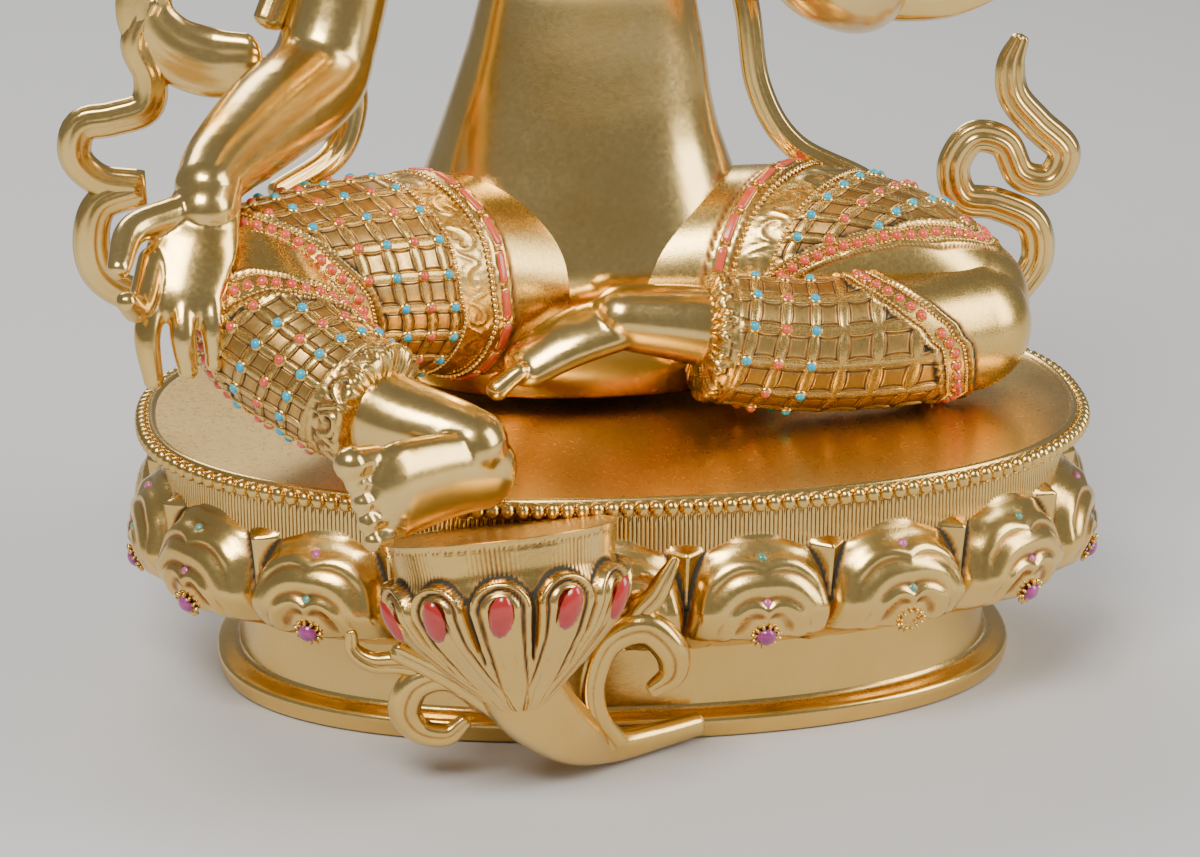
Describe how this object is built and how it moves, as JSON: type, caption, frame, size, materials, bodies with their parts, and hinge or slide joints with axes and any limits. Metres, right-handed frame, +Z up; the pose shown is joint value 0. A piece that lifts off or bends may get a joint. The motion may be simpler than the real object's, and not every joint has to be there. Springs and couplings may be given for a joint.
{
  "type": "green tara statue",
  "caption": "A gilt copper figure seated at ease on an oval lotus base, a foot lowered onto a small side lotus, set with coral, turquoise and ruby cabochons",
  "frame": {"origin": "centre of the base's flat underside", "axes": "+Z up, +X to the viewer's right seen from the front, -Y towards the viewer in front"},
  "size_m": [0.2362, 0.1955, 0.326],
  "materials": {
    "gilt": "worn polished gilding over cast copper, with dark patina in the recesses",
    "coral": "polished red coral",
    "ruby": "polished ruby-coloured cabochon"
  },
  "bodies": {
    "root": {"lotus_base": "gilt", "foot_lotus": "gilt", "figure": "gilt", "right_scarf": "gilt", "left_scarf": "gilt", "foot_lotus_coral_1": "coral", "foot_lotus_coral_2": "coral", "foot_lotus_coral_3": "coral", "foot_lotus_coral_4": "coral", "foot_lotus_coral_5": "coral", "petal_gem_1": "ruby", "petal_gem_3": "ruby", "petal_gem_4": "ruby", "petal_gem_5": "ruby", "petal_gem_6": "ruby", "petal_gem_7": "ruby", "petal_gem_8": "ruby", "petal_gem_9": "ruby", "petal_gem_10": "ruby", "petal_gem_11": "ruby", "petal_gem_12": "ruby", "petal_gem_13": "ruby", "petal_gem_14": "ruby", "petal_gem_15": "ruby", "petal_gem_16": "ruby", "petal_gem_17": "ruby", "petal_gem_18": "ruby"}
  },
  "joints": []
}
